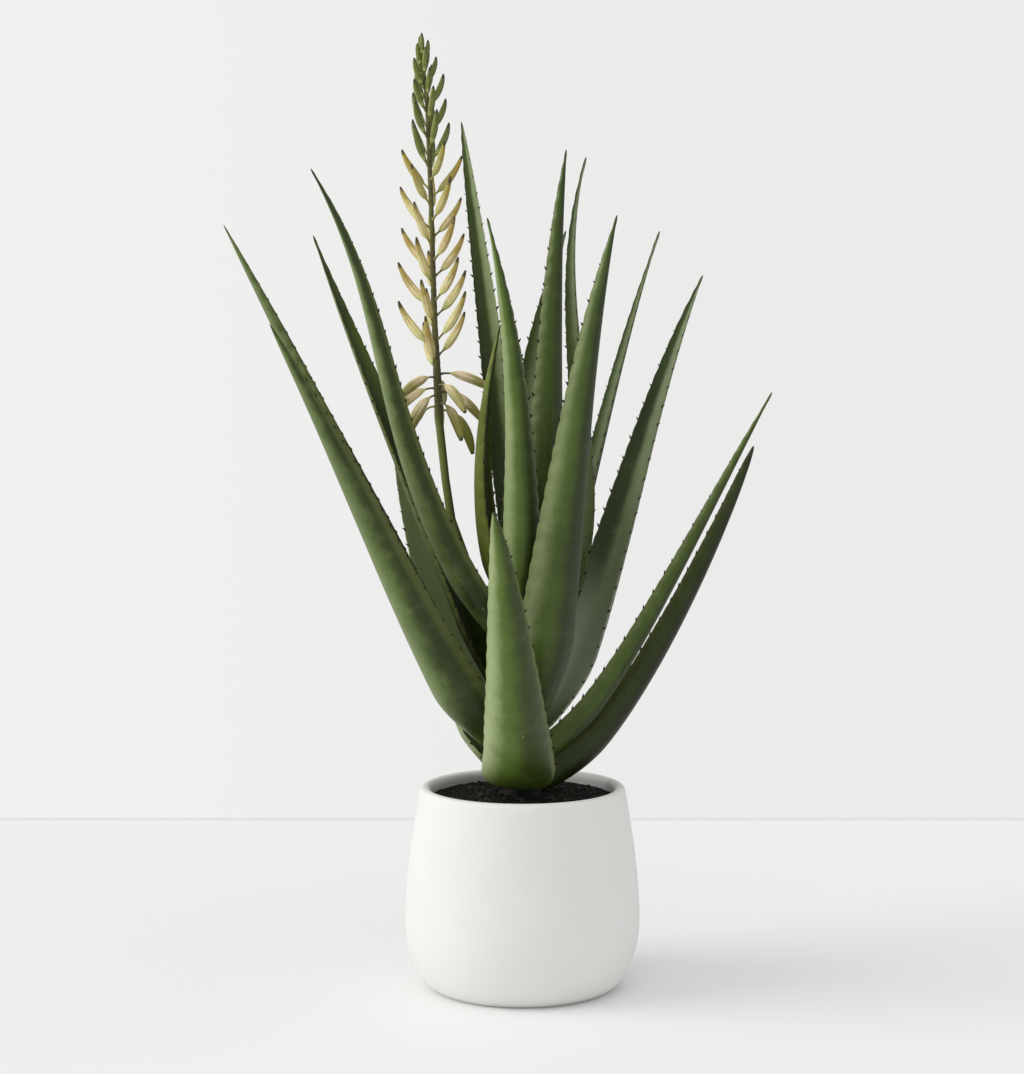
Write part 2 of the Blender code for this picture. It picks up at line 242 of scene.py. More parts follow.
sheet = bmesh.new()
bmesh.ops.create_grid(sheet, x_segments=12, y_segments=12, size=0.5)
span = (FLOOR_WIDTH, FLOOR_BACK - FLOOR_FRONT, 1)
bmesh.ops.scale(sheet, verts=sheet.verts, vec=span)
middle = (0, (FLOOR_BACK + FLOOR_FRONT) / 2, 0)
bmesh.ops.translate(sheet, verts=sheet.verts, vec=middle)
floor_mesh = mesh_from(sheet, "studio_floor")
floor = link("studio_floor", floor_mesh)
floor_finish, tree, shader = new_material("pale_floor", 0.6, 0.3)
floor_tone = clouds(place(tree), 1.5, 2)
floor_colour = mix(floor_tone, (0.90, 0.90, 0.896, 1), (0.915, 0.915, 0.913, 1))
depth = part_of(place(tree), "Y")
joint = fade(depth, FLOOR_BACK - JOINT_WIDTH, FLOOR_BACK - JOINT_WIDTH / 3)
wear(shader, mix(joint, floor_colour, (0.78, 0.78, 0.77, 1)))
floor_mesh.materials.append(floor_finish)
floor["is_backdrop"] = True

# %% Lights
LAMP_DISTANCE = 3


def soft_sun(name, towards_light, spread, strength, colour=(1, 1, 1)):
    """Even light from one side, as from a big window; spread is its breadth in degrees."""
    data = bpy.data.lights.new(name, "SUN")
    data.angle = radians(spread)
    data.energy = strength
    data.color = colour
    lamp = link(name, data)
    lamp.rotation_euler = Vector(towards_light).to_track_quat("Z", "Y").to_euler()
    lamp.location = Vector(towards_light).normalized() * LAMP_DISTANCE


soft_sun("window_light", (-1, -0.16, 0.5), 46, 1.42, (1, 0.995, 0.98))
soft_sun("top_light", (-0.15, -0.25, 1), 80, 0.72)
soft_sun("fill_light", (1, -0.15, 0.3), 80, 0.3)

WALL_LEFT = srgb(241, 241, 240)
WALL_RIGHT = srgb(235, 235, 234)
AMBIENT = 0.54

world = bpy.data.worlds.new("studio")
bpy.context.scene.world = world
world.use_nodes = True
tree = world.node_tree
shown = tree.nodes["Background"]
towards = part_of(add("TexCoord", {}, tree).outputs["Generated"], "X")
# the wall is painted a touch brighter on the left, the side of the light, and darker to the right
wall = mix(fade(towards, -0.24, 0.1), WALL_LEFT, WALL_RIGHT)
join(wall, shown.inputs[0])
lighting = add("Background", {0: (1, 1, 1, 1), 1: AMBIENT}, tree)
camera_ray = add("LightPath", {}, tree).outputs["Is Camera Ray"]
either = add("MixShader", {0: camera_ray, 1: lighting.outputs[0], 2: shown.outputs[0]})
join(either.outputs[0], tree.nodes["World Output"].inputs[0])
print("camera, floor and lights made")

# %% [markdown]
# ## Helpers that put a piece on the frame
#
# Every piece is finished the same way: its faces are turned outwards, it is shaded smooth with its
# hard edges kept, it rides on the plant's one body, and it takes the place of the solid that it
# stands for.

# %% Finish a piece
report = []


def overhang(piece, node):
    """How far the piece reaches outside the box of its solid, on the side where it is furthest."""
    low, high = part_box(node)
    return max(max(low[i] - at[i], at[i] - high[i]) for at in piece.bound_box for i in range(3))


def finish_piece(shape, name, material, slot, node=None, sharp=50):
    """Makes the object from a bmesh, seats it on the frame and notes how it fits its solid."""
    mesh = mesh_from(shape, name)
    mesh.shade_smooth()
    mesh.set_sharp_from_angle(angle=radians(sharp))
    mesh.materials.append(material)
    piece = link(name, mesh)
    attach(piece, BODY)
    if node:
        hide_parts(node)
        report.append((name, len(mesh.polygons), overhang(piece, node)))
    return piece


def merge_shape(target, source, layers):
    """Moves one bmesh into another, with the named point values."""
    pairs = [(source.verts.layers.float[name], target.verts.layers.float[name]) for name in layers]
    copies = {}
    for vert in source.verts:
        copies[vert] = target.verts.new(vert.co)
        for old, new in pairs:
            copies[vert][new] = vert[old]
    for face in source.faces:
        target.faces.new([copies[vert] for vert in face.verts])
    source.free()


# %% [markdown]
# ## Round stock
#
# Leaves, stalk and flowers all grow along a line and are round or crescent-shaped across it. Each
# begins as the same thing: a straight closed bar of unit size, cut into rings by subdividing its
# long edges. The bar's points are then laid along the piece's own curve. This keeps clean rings of
# four-sided faces.

# %% Stock and curves
UP = Vector((0, 0, 1))
SUNNY_SIDE = Vector((-0.93, -0.10, 0.35)).normalized()


def round_stock(sides, rings, top=1):
    """A closed bar from height 0 to 1, of radius 1 at its foot, cut into rings."""
    bar = bmesh.new()
    bmesh.ops.create_cone(bar, cap_ends=True, segments=sides, radius1=1, radius2=top, depth=1)
    bmesh.ops.translate(bar, verts=bar.verts, vec=(0, 0, 0.5))
    long_edges = [e for e in bar.edges if abs(e.verts[0].co.z - e.verts[1].co.z) > 0.5]
    bmesh.ops.subdivide_edges(bar, edges=long_edges, cuts=rings - 1, use_grid_fill=True)
    return bar


def point_values(shape, names):
    """New number layers on the points of a shape."""
    return [shape.verts.layers.float.new(name) for name in names]


def face_out(shape):
    bmesh.ops.recalc_face_normals(shape, faces=shape.faces)


def face_sun(shape, bloom):
    """Turns the faces outwards and notes how much each point faces the sunny side,
    which the materials use to paint light and shade.
    """
    face_out(shape)
    shape.normal_update()
    for vert in shape.verts:
        vert[bloom] = 0.5 + 0.5 * vert.normal.dot(SUNNY_SIDE)


def compass(heading):
    """Level unit vectors that point outward along a heading, and sideways from it."""
    return Vector((cos(heading), sin(heading), 0)), Vector((-sin(heading), cos(heading), 0))


def smooth_step(value):
    value = min(max(value, 0), 1)
    return value * value * (3 - 2 * value)


def even_points(points, count):
    """The same line with its points evenly spaced."""
    lengths = [0]
    for a, b in zip(points, points[1:]):
        lengths.append(lengths[-1] + (b - a).length)
    even = []
    at = 0
    for i in range(count + 1):
        wanted = lengths[-1] * i / count
        while at < len(points) - 2 and lengths[at + 1] < wanted:
            at += 1
        share = (wanted - lengths[at]) / (lengths[at + 1] - lengths[at])
        even.append(points[at].lerp(points[at + 1], share))
    return even, lengths[-1]


def on_line(points, t, behind, ahead):
    """The place at t on an evenly spaced line, and the line's direction there."""
    count = len(points) - 1
    at = min(int(t * count), count - 1)
    centre = points[at].lerp(points[at + 1], t * count - at)
    forward = points[min(at + ahead, count)] - points[max(at - behind, 0)]
    return centre, forward.normalized()


# %% [markdown]
# ## Leaves
#
# An aloe leaf is thick and full of gel. Its upper face is a shallow channel, its back is rounded,
# and its two edges are thin and carry small horny teeth that point to the tip. Its foot is broad
# and clasps the stem. One row of the table gives the course of one leaf, in the same values as the
# solid model.

# %% The leaves' courses
LEAF_SIDES = 36
LEAF_RINGS = 190
LEAF_BELLY = 0.36
LEAF_FOOT_BELLY = 0.24
LEAF_LIP = 0.03
LEAF_CURL = 0.18
LEAF_EDGE_RISE = 0.03
LEAF_FOOT_CURL = 0.16
LEAF_FULLNESS = 0.75
LEAF_TIP_WIDTH = 0.0028
LEAF_TIP_SHARE = 0.012
LEAF_TIP_LEAST = 0.0008
LEAF_FOOT_SHARE = 0.045
LEAF_FOOT_LEAST = 0.2
LEAF_FOOT_FROM = 0.04
LEAF_FOOT_FADE = 0.16
LEAF_EDGE_FROM = 0.8
LEAF_EDGE_BAND = 0.2
LEAF_SCALLOP = 0.0003
LEAF_WAVE = 0.004
LEAF_SWAY = 2.2
RING_CROWDING = 1.1
CURVE_POINTS = 400
SPINE_POINTS = 240
TOOTH_STEPS = (0.015, 0.0172)
FOOT_RADIUS = 0.008
TIP_HANDLE = 0.38
LEAF_VALUES = ("tooth", "along", "across", "channel", "bloom")
CLASP_GAIN = 1.45
CLASP_LARGEST = 0.96
OWN_FORM = {
    "leaf_front": dict(
        clasp=0.62, swell=0.075, foot_curl=-0.17, foot_belly=0.30, foot_fullness=0.36),
    "leaf_right": dict(curl=0.26, crease=1.5),
    "leaf_back_tall": dict(curl=0.26, crease=1.5),
    "leaf_inner_left": dict(curl=0.26),
}

Leaf = namedtuple(
    "Leaf",
    "name skin heading foot run lean_foot lean_tip reach top width taper clasp swell"
    " roll_foot roll_tip side_foot side_tip",
)
LEAVES = [Leaf(*row) for row in (
    ("leaf_front", "bright", 259, 0.187, 0.048, 88, 8, 0.126, 0.4175,
     0.066, 0.66, 0.36, 0.12, 0, 0, 4, -7),
    ("leaf_low_right", "olive", 22, 0.174, 0.062, 88, 25.5, 0.221, 0.462,
     0.037, 0.49, 0.62, 0.2, -50, -50, -2, 2.8),
    ("leaf_short_left", "hollow", 145, 0.181, 0.0265, 80, 17, 0.137, 0.4455,
     0.06, 0.775, 0.5, 0.2, -25, -35, 0, 0),
    ("leaf_left", "green", 197, 0.1975, 0.0615, 60, 31, 0.217, 0.5675,
     0.0663, 0.69, 0.36, 0.2, 13, -7.5, 0, -0.5),
    ("leaf_far_left", "green", 166, 0.212, 0.074, 46.3, 30.6, 0.268, 0.655,
     0.048, 0.68, 0.36, 0.45, 15, 15, 0, -0.8),
    ("leaf_far_right", "side", 8, 0.198, 0.051, 87, 30, 0.217, 0.51,
     0.0275, 0.74, 0.62, 0.2, -50, -50, -1, 1),
    ("leaf_front_right", "shaded", 300, 0.226, 0.066, 47, 25, 0.148, 0.6525,
     0.0625, 0.82, 0.44, 0.2, 0, 0, 0, 1),
    ("leaf_right", "greyed", 35, 0.217, 0.0765, 61.6, 28.4, 0.197, 0.613,
     0.0495, 0.783, 0.42, 0.2, 30, 30, 0, -1),
    ("leaf_dark_left", "dusky", 160, 0.23, 0.061, 21, 22, 0.194, 0.646,
     0.043, 0.8, 0.5, 0.2, -30, -29, 0, 0),
    ("leaf_thin_right", "deep", 52, 0.246, 0.079, 37, 31, 0.204, 0.6545,
     0.026, 0.83, 0.7, 0.2, 0, 0, 0, 0),
    ("leaf_upper_left", "pale", 207, 0.282, 0.225, 34, 38, 0.192, 0.692,
     0.04, 0.75, 0.42, 0.2, 5, 5, -8, 13),
    ("leaf_thin_back", "deep", 62, 0.276, 0.165, 28, 15, 0.121, 0.717,
     0.03, 0.78, 0.62, 0.2, 0, 0, -30, -10),
    ("leaf_centre_left", "bright", 250, 0.304, 0.118, 26, 12, 0.085, 0.653,
     0.043, 0.84, 0.44, 0.2, 0, 0, 9, -10),
    ("leaf_back_tall", "streaked", 112, 0.302, 0.1, 27, 14.5, 0.145, 0.7505,
     0.034, 0.589, 0.42, 0.42, 0, -45, -7, 3.4),
    ("leaf_behind_centre", "deep", 60, 0.316, 0.112, 13, 16, 0.076, 0.65,
     0.043, 0.72, 0.4, 0.2, 0, 0, 13, -10),
    ("leaf_inner_left", "fresh", 175, 0.324, 0.065, 31, -14, 0.019, 0.568,
     0.031, 0.76, 0.6, 0.2, -15, -15, 0, 0),
    ("leaf_tall_centre", "shaded", 320, 0.334, 0.11, 15, 9, 0.047, 0.712,
     0.046, 0.75, 0.42, 0.2, 0, 0, 1, 1),
)]

# %% The course of one leaf


def leaning(outward, across, lean, side):
    """A unit vector that leans outward from upright, and sideways."""
    lean, side = radians(lean), radians(side)
    return (outward * sin(lean) + UP * cos(lean) + across * tan(side)).normalized()


class LeafCourse:
    """Where each point of the stock goes on one leaf."""

    def __init__(self, leaf):
        self.leaf = leaf
        clasp = min(leaf.clasp * CLASP_GAIN, CLASP_LARGEST)
        self.form = dict(clasp=clasp, swell=leaf.swell, curl=LEAF_CURL, crease=2,
                         foot_curl=LEAF_FOOT_CURL, foot_belly=LEAF_FOOT_BELLY,
                         foot_fullness=LEAF_FULLNESS)
        self.form.update(OWN_FORM.get(leaf.name, {}))
        self.chance = Random(leaf.name)
        outward, self.across = compass(radians(leaf.heading))
        foot = outward * FOOT_RADIUS + UP * leaf.foot
        tip = outward * leaf.reach + UP * leaf.top
        first = foot + leaning(outward, self.across, leaf.lean_foot, leaf.side_foot) * leaf.run
        handle = (tip - foot).length * TIP_HANDLE
        second = tip - leaning(outward, self.across, leaf.lean_tip, leaf.side_tip) * handle
        curve = interpolate_bezier(foot, first, second, tip, CURVE_POINTS)
        self.spine, self.length = even_points(curve, SPINE_POINTS)
        self.tooth_step = self.length / round(self.length / self.chance.uniform(*TOOTH_STEPS))
        self.phase = self.chance.uniform(0, 2 * pi)

    def width(self, t):
        leaf = self.leaf
        clasp = self.form["clasp"]
        swell = clasp + (1 - clasp) * smooth_step(t / self.form["swell"])
        short = 1 - min(t / LEAF_FOOT_SHARE, 1)
        swell *= max((1 - short * short) ** 0.5, LEAF_FOOT_LEAST)
        blunt = LEAF_TIP_WIDTH * min((1 - t) / LEAF_TIP_SHARE, 1) ** 0.5
        return max(leaf.width * swell * (1 - t) ** leaf.taper, blunt, LEAF_TIP_LEAST)

    def axes(self, t):
        """The leaf's middle at t, and unit vectors sideways, out of its channel and forward."""
        centre, forward = on_line(self.spine, t, 3, 4)
        side = (self.across - self.across.dot(forward) * forward).normalized()
        inner = forward.cross(side)
        leaf = self.leaf
        sway = LEAF_SWAY * sin(5 * t * pi + self.phase)
        roll = radians(leaf.roll_foot + (leaf.roll_tip - leaf.roll_foot) * t + sway * (1 - t))
        turned_side = side * cos(roll) + inner * sin(roll)
        turned_inner = inner * cos(roll) - side * sin(roll)
        return centre, turned_side, turned_inner, forward

    def point(self, t, x, y):
        """The place of a stock point at (x, y) of its unit circle, t along the leaf."""
        centre, side, inner, _ = self.axes(t)
        width = self.width(t)
        foot = 1 - smooth_step((t - LEAF_FOOT_FROM) / LEAF_FOOT_FADE)
        form = self.form
        edge = smooth_step((abs(x) - LEAF_EDGE_FROM) / LEAF_EDGE_BAND)
        beat = 1 - cos(2 * pi * t * self.length / self.tooth_step)
        scallop = LEAF_SCALLOP * edge * beat * (1 - foot)
        belly = LEAF_BELLY + (form["foot_belly"] - LEAF_BELLY) * foot
        fullness = LEAF_FULLNESS + (form["foot_fullness"] - LEAF_FULLNESS) * foot
        rounding = LEAF_LIP * y if y > 0 else -belly * abs(y) ** fullness
        curl = form["curl"] + form["foot_curl"] * foot
        channel = curl * abs(x) ** form["crease"] + LEAF_EDGE_RISE * abs(x) ** 5
        wave = LEAF_WAVE * sin(9 * t * pi + 2 * self.phase) * x
        half = width / 2 - scallop
        return centre + side * (half * x) + inner * (width * (channel + rounding + wave))


# %% Leaf mesh and teeth
TOOTH_HEIGHT = 0.003
TOOTH_WIDTH = 0.0019
TOOTH_THICKNESS = 0.0008
TOOTH_SINK = 0.0005
TOOTH_FULL_WIDTH = 0.017
TOOTH_FIRST = 0.05
TOOTH_LAST = 0.975


def add_tooth(shape, course, t, edge):
    """A small horny tooth on one edge of the leaf, hooked towards the tip."""
    _, side, inner, forward = course.axes(t)
    rim = course.point(t, edge, 0)
    size = min(1, course.width(t) / TOOTH_FULL_WIDTH) * course.chance.uniform(0.82, 1.15)
    height = TOOTH_HEIGHT * size
    outward = side * edge
    cone = round_stock(6, 2, top=0.10)
    own = point_values(cone, LEAF_VALUES)
    for vert in cone.verts:
        x, y, rise = vert.co
        for layer, value in zip(own, (0.10 + 0.90 * rise, t, edge, 0.5, 0.5)):
            vert[layer] = value
        hook = height * (0.15 * rise + 0.75 * rise * rise)
        flat = forward * (TOOTH_WIDTH * size * x + hook) + inner * (TOOTH_THICKNESS * size * y)
        vert.co = rim + flat + outward * (height * rise - TOOTH_SINK)
    face_out(cone)
    merge_shape(shape, cone, LEAF_VALUES)


def leaf_shape(leaf):
    """The finished leaf with the values that its material reads."""
    course = LeafCourse(leaf)
    shape = round_stock(LEAF_SIDES, LEAF_RINGS)
    _, along, across, channel, bloom = point_values(shape, LEAF_VALUES)
    for vert in shape.verts:
        x, y, t = vert.co
        t = min(max(t, 0), 1)
        vert[along] = t
        vert[across] = x
        vert[channel] = smooth_step(y / 0.25 + 0.5)
        vert.co = course.point(t**RING_CROWDING, x, y)
    face_sun(shape, bloom)
    grain = shape.loops.layers.uv.new("grain")
    for face in shape.faces:
        for loop in face.loops:
            vert = loop.vert
            run = vert[along] ** RING_CROWDING * course.length
            loop[grain].uv = (vert[across] * leaf.width / 2, run)
    count = round(course.length / course.tooth_step)
    for edge in (-1, 1):
        for i in range(count):
            t = (i + 0.5 + course.chance.uniform(-0.14, 0.14)) / count
            if TOOTH_FIRST < t < TOOTH_LAST:
                add_tooth(shape, course, t, edge)
    return shape


# %% [markdown]
# ### Leaf skin
#
# The skin is a deep green with fine lengthwise fibres and faint bands across it. A pale painted
# highlight lies on the side of each leaf that faces the light, and a painted shade of darker green
# on the side turned away. The channel is greyer than the back, the edges are a little paler, the
# foot is a fresher green, and the teeth and the very tip end in brown horn. Streaks and bands
# follow the leaf, so they read its own map, and the cloudy patches read its place.

# %% Shared groups
fibres, entry, result = new_group("Fibres", {"Across": 900, "Along": 14}, ["Value"])
scales = {0: entry.outputs["Across"], 1: entry.outputs["Along"], 2: 1}
scale = add("CombineXYZ", scales)
stretch = {0: entry.outputs["Vector"], 1: scale.outputs[0]}
drawn = add("VectorMath", stretch, operation="MULTIPLY").outputs[0]
join(clouds(drawn, 1, 3, 0.6), result.inputs["Value"])

inputs = {"Scale": 160, "Share": 0.1, "Size": 0.16}
specks, entry, result = new_group("Pale specks", inputs, ["Mask"])
values = {"Vector": entry.outputs["Vector"], "Scale": entry.outputs["Scale"]}
cells = add("TexVoronoi", values)
cell_tone = add("SeparateColor", {0: cells.outputs["Color"]}).outputs[0]
chosen = calc("LESS_THAN", cell_tone, entry.outputs["Share"])
near = calc("LESS_THAN", cells.outputs["Distance"], entry.outputs["Size"])
join(times(chosen, near), result.inputs["Mask"])

# %% Leaf material
LEAF_BACK = srgb(84, 105, 42)
LEAF_BACK_DEEP = srgb(67, 87, 31)
LEAF_CHANNEL = srgb(83, 101, 46)
LEAF_CHANNEL_DEEP = srgb(63, 80, 34)
LEAF_SHADY = srgb(33, 44, 12)
# pale green of the faint bands, and of the painted highlight and painted light on the leaves
LEAF_PALE_BAND_AND_HIGHLIGHT = srgb(142, 157, 112)
# paler green painted on a leaf's lower third as painted light
LEAF_FOOT_PAINTED_LIGHT = srgb(165, 178, 144)
LEAF_FOOT = srgb(82, 106, 38)
LEAF_EDGE = srgb(112, 122, 70)
TOOTH_PALE = srgb(96, 98, 56)
HORN = srgb(30, 22, 15)
SPECK = srgb(186, 194, 150)
# where the painted shade on a leaf's far side begins and ends, by how much it faces the light
SHADE = (0.56, 0.2)
LIT_SHADE = (0.76, 0.52)


def leaf_material(name, tint, sun_highlight, channel_light=0, foot_light=0, shade=SHADE, half=0):
    """Leaf skin; its tint multiplies its greens, which shifts the hue and also makes lit and
    shaded copies of one skin.

    The three values after tint are how thick painted light lies: as a pale highlight on the side
    that faces the light, over its channel and on its lower third. shade is where the painted shade
    of deep green on its far side begins and ends, and half is how deep the painted shade of its
    left half is above the foot.
    """
    made, tree, shader = new_material(name, 0.40, 0.28)
    where = place(tree)
    grain = add("UVMap", {}, tree, uv_map="grain").outputs[0]
    along = attribute(tree, "along")
    edge = calc("ABSOLUTE", attribute(tree, "across"))
    patches = clouds(where, 16, 4)
    smudges = clouds(where, 55, 5, 0.65)
    streaks = use_group(fibres, grain, Across=1100, Along=9)
    bands = use_group(fibres, grain, Across=14, Along=95)
    back = mix(fade(patches, 0.3, 0.7), LEAF_BACK_DEEP, LEAF_BACK)
    channel = mix(fade(patches, 0.3, 0.7), LEAF_CHANNEL_DEEP, LEAF_CHANNEL)
    colour = mix(attribute(tree, "channel"), back, channel)
    sunny = fade(smudges, 0.25, 0.75, -0.05, 0.05)
    sunny = calc("ADD", attribute(tree, "bloom"), sunny)
    coats = [
        (fade(streaks, 0.42, 0.75, 0, 0.35), LEAF_BACK_DEEP),
        # painted shade: deep green laid on the side of the leaf turned away from the light
        (fade(sunny, *shade, 0, 0.82), LEAF_SHADY),
    ]
    # painted shade over the left half of the channel, above the foot
    if half:
        left = times(
            fade(attribute(tree, "across"), -0.3, 0.2, 0, half), fade(along, 0.18, 0.46))
        left = times(left, fade(along, 0.95, 0.72, 0.3, 1))
        coats.append((left, LEAF_SHADY))
    # painted highlight: pale green laid on the side of the leaf that faces the light
    coats.append((fade(sunny, 0.55, 0.98, 0, sun_highlight), LEAF_PALE_BAND_AND_HIGHLIGHT))
    # painted light laid over the channel, which stands in shade
    if channel_light:
        in_channel = times(attribute(tree, "channel"), channel_light)
        coats.append((in_channel, LEAF_PALE_BAND_AND_HIGHLIGHT))
    # painted light: the lower third laid paler where it stands in shade
    if foot_light:
        coats.append((fade(along, 0.46, 0.2, 0, foot_light), LEAF_FOOT_PAINTED_LIGHT))
    dots = use_group(specks, where, Scale=150, Share=0.012, Size=0.09)
    coats += [
        (fade(bands, 0.5, 0.85, 0, 0.1), LEAF_PALE_BAND_AND_HIGHLIGHT),
        (fade(bands, 0.45, 0.15, 0, 0.18), LEAF_SHADY),
        (fade(along, 0.15, 0, 0, 0.8), LEAF_FOOT),
        (fade(edge, 0.93, 1, 0, 0.4), LEAF_EDGE),
        (times(dots, 0.65), SPECK),
    ]
    colour = mix(1, lay(colour, coats), (*tint, 1), "MULTIPLY")
    tooth = attribute(tree, "tooth")
    colour = lay(colour, [
        (fade(along, 0.985, 1, 0, 0.75), HORN),
        (fade(tooth, 0.02, 0.12), TOOTH_PALE),
        (fade(tooth, 0.16, 0.45), HORN),
    ])
    wear(shader, colour, fade(streaks, 0.2, 0.8, 0.34, 0.48))
    relief = calc("ADD", times(streaks, 0.6), times(bands, 0.8))
    bump(shader, relief, 0.00035, 0.5)
    return made


# Each skin's tint is mostly painted light: leaves that stand in shade get a darker tint and leaves
# in the light a paler one, so the skins are lit and shaded copies of one leaf skin, with some real
# change of hue besides. Some also paint shade over the left half or painted light on the foot.
SKINS = {
    "green": dict(tint=(0.98, 0.97, 0.92), sun_highlight=0.7, shade=LIT_SHADE),
    "bright": dict(tint=(1.26, 1.24, 1.2), sun_highlight=0.95),
    "pale": dict(tint=(1.14, 1.12, 1.08), sun_highlight=0.95, shade=LIT_SHADE),
    "hollow": dict(tint=(1.2, 1.18, 1.14), sun_highlight=0.9, channel_light=0.8),
    "side": dict(tint=(0.96, 0.95, 0.9), sun_highlight=0.7),
    "shaded": dict(tint=(0.82, 0.82, 0.76), sun_highlight=0.95),
    "deep": dict(tint=(0.7, 0.72, 0.64), sun_highlight=0.75),
    "dusky": dict(tint=(0.92, 0.9, 0.72), sun_highlight=0.7),
    "olive": dict(tint=(0.44, 0.4, 0.31), sun_highlight=0.6),
    "fresh": dict(tint=(1.16, 1.08, 0.55), sun_highlight=0.6),
    "greyed": dict(tint=(0.88, 0.88, 0.94), sun_highlight=1, foot_light=0.95, half=0.72),
    "streaked": dict(tint=(1.04, 1.04, 0.98), sun_highlight=0.95, foot_light=0.3, half=0.5),
}
skins = {name: leaf_material("leaf_" + name, **values) for name, values in SKINS.items()}

# %% Make the leaves
for leaf in LEAVES:
    skin = skins[leaf.skin]
    finish_piece(leaf_shape(leaf), "fine_" + leaf.name, skin, "leaf_green", leaf.name)
print(len(LEAVES), "leaves,", sum(faces for _, faces, _ in report), "faces")

# %% [markdown]
# ## Pot
#
# The pot is a thrown vessel with a full belly, a narrower mouth and a soft rolled lip, in a matt
# white glaze. It is a profile spun about the upright axis. The profile is a few Bezier arcs, so the
# wall has no kinks. A full spin merges its last step into its first, and the two poles are then
# welded.

# %% Pot profile
POT_HEIGHT = 0.1735
POT_LIP_OUTER = 0.0888
POT_LIP_INNER = 0.0787
POT_LIP_DROP = 0.006
POT_BELLY = 0.101
POT_BELLY_HEIGHT = 0.058
POT_FOOT = 0.0796
POT_WALL = 0.009
POT_FLOOR = 0.01
FOOT_RISE = 0.0019
FOOT_INSET = 0.0028


def arc(start, handle_a, handle_b, end, count):
    """Points (radius, height) along one Bezier arc, without its last point."""
    ends = [Vector((x, 0, z)) for x, z in (start, handle_a, handle_b, end)]
    return [(p.x, p.z) for p in interpolate_bezier(*ends, count + 1)[:-1]]


def pot_profile():
    """From the middle of the floor, up inside, over the lip and down to the middle of the base.

    Each row of the path is where an arc starts, its two handles and how many points it has.
    """
    inner = POT_BELLY - POT_WALL
    neck = POT_HEIGHT - POT_LIP_DROP
    crest = (POT_LIP_INNER + POT_LIP_OUTER) / 2
    path = (
        ((0.068, POT_FLOOR), (0.082, POT_FLOOR), (inner, 0.036), 10),
        ((inner, POT_BELLY_HEIGHT), (inner, 0.093), (0.0855, 0.131), 14),
        ((POT_LIP_INNER, neck), (POT_LIP_INNER, neck + 0.004), (crest - 0.003, POT_HEIGHT), 8),
        ((crest, POT_HEIGHT), (crest + 0.0032, POT_HEIGHT),
         (POT_LIP_OUTER - 0.0004, neck + 0.004), 8),
        ((POT_LIP_OUTER, neck), (0.0952, 0.131), (POT_BELLY, 0.093), 20),
        ((POT_BELLY, POT_BELLY_HEIGHT), (POT_BELLY, 0.033), (0.0905, 0.008), 18),
        ((POT_FOOT, FOOT_RISE),),
    )
    line = [(0, POT_FLOOR)]
    for (start, *handles, count), (end, *_) in zip(path, path[1:]):
        line += arc(start, *handles, end, count)
    ring = POT_FOOT - FOOT_INSET
    line += [(POT_FOOT, FOOT_RISE), (POT_FOOT - 0.0007, FOOT_RISE - 0.0004)]
    line += [(ring + 0.0002, FOOT_RISE - 0.0005), (ring, FOOT_RISE - 0.0008)]
    return line + [(ring - 0.0002, 0.0002), (ring - 0.0006, 0), (0, 0)]


def spun(profile, steps):
    """A closed solid from a profile of (radius, height) whose two ends lie on the axis."""
    shape = bmesh.new()
    points = [shape.verts.new((radius, 0, height)) for radius, height in profile]
    edges = [shape.edges.new(pair) for pair in zip(points, points[1:])]
    bmesh.ops.spin(shape, geom=points + edges, cent=(0, 0, 0), axis=(0, 0, 1), angle=2 * pi,
                   steps=steps, use_merge=True)
    bmesh.ops.remove_doubles(shape, verts=shape.verts, dist=0.00001)
    face_out(shape)
    return shape


# %% Pot glaze
glaze, tree, shader = new_material("matt_glaze", 0.58, 0.35)
where = place(tree)
drift = fade(clouds(where, 9, 4), 0.3, 0.7)
pits = use_group(specks, where, Scale=120, Share=0.018, Size=0.1)
tone = lay(srgb(230, 229, 226), [
    (drift, srgb(234, 233, 231)),
    (times(pits, 0.35), srgb(176, 172, 164)),
])
wear(shader, tone, fade(clouds(where, 60, 3), 0.2, 0.8, 0.5, 0.66))
bump(shader, clouds(where, 420, 3), 0.00012, 0.5)

pot_shape = spun(pot_profile(), 160)
pot = finish_piece(pot_shape, "fine_pot", glaze, "white_ceramic", "pot", 60)
print("pot", len(pot.data.polygons), "faces")

# %% [markdown]
# ## Soil
#
# Potting mix is dark, loose and uneven: peat crumbs of every size with a few pale fibres and grit.
# The bed is a spun body whose top is lifted by noise. Loose crumbs are small rough lumps pressed
# into it, and the fibres are thin bent threads.

# %% Soil bed
SOIL_EDGE = 0.1638
SOIL_CENTRE = 0.1662
SOIL_RADIUS = 0.0783
SOIL_RINGS = 70
SOIL_STEPS = 150
LUMPS = ((55, 1.7, 0.0012), (150, 4.1, 0.0008), (420, 8.3, 0.0006))
CALM_FROM = 0.074
CALM_WIDTH = 0.005
CALM_SHARE = 0.6
CRUMB_COUNT = 1700
CRUMB_LEAST = 0.0005
CRUMB_RANGE = 0.0013
FIBRE_COUNT = 260
FIBRE_LENGTHS = (0.005, 0.014)
FIBRE_THICKNESSES = (0.00014, 0.0003)
FIBRE_LIFT = 0.0005
FIBRE_ARCH = 0.0008
soil_chance = Random(7)


def soil_level(x, y):
    """Height of the soil's top: a low mound with lumps of three sizes, calmer at the pot's wall."""
    radius = (x * x + y * y) ** 0.5
    mound = SOIL_CENTRE + (SOIL_EDGE - SOIL_CENTRE) * smooth_step(radius / SOIL_RADIUS)
    large, middle, fine = [size * noise.noise((x * k, y * k, part)) for k, part, size in LUMPS]
    calm = 1 - smooth_step((radius - CALM_FROM) / CALM_WIDTH) * CALM_SHARE
    return mound + (large + middle + abs(fine)) * calm


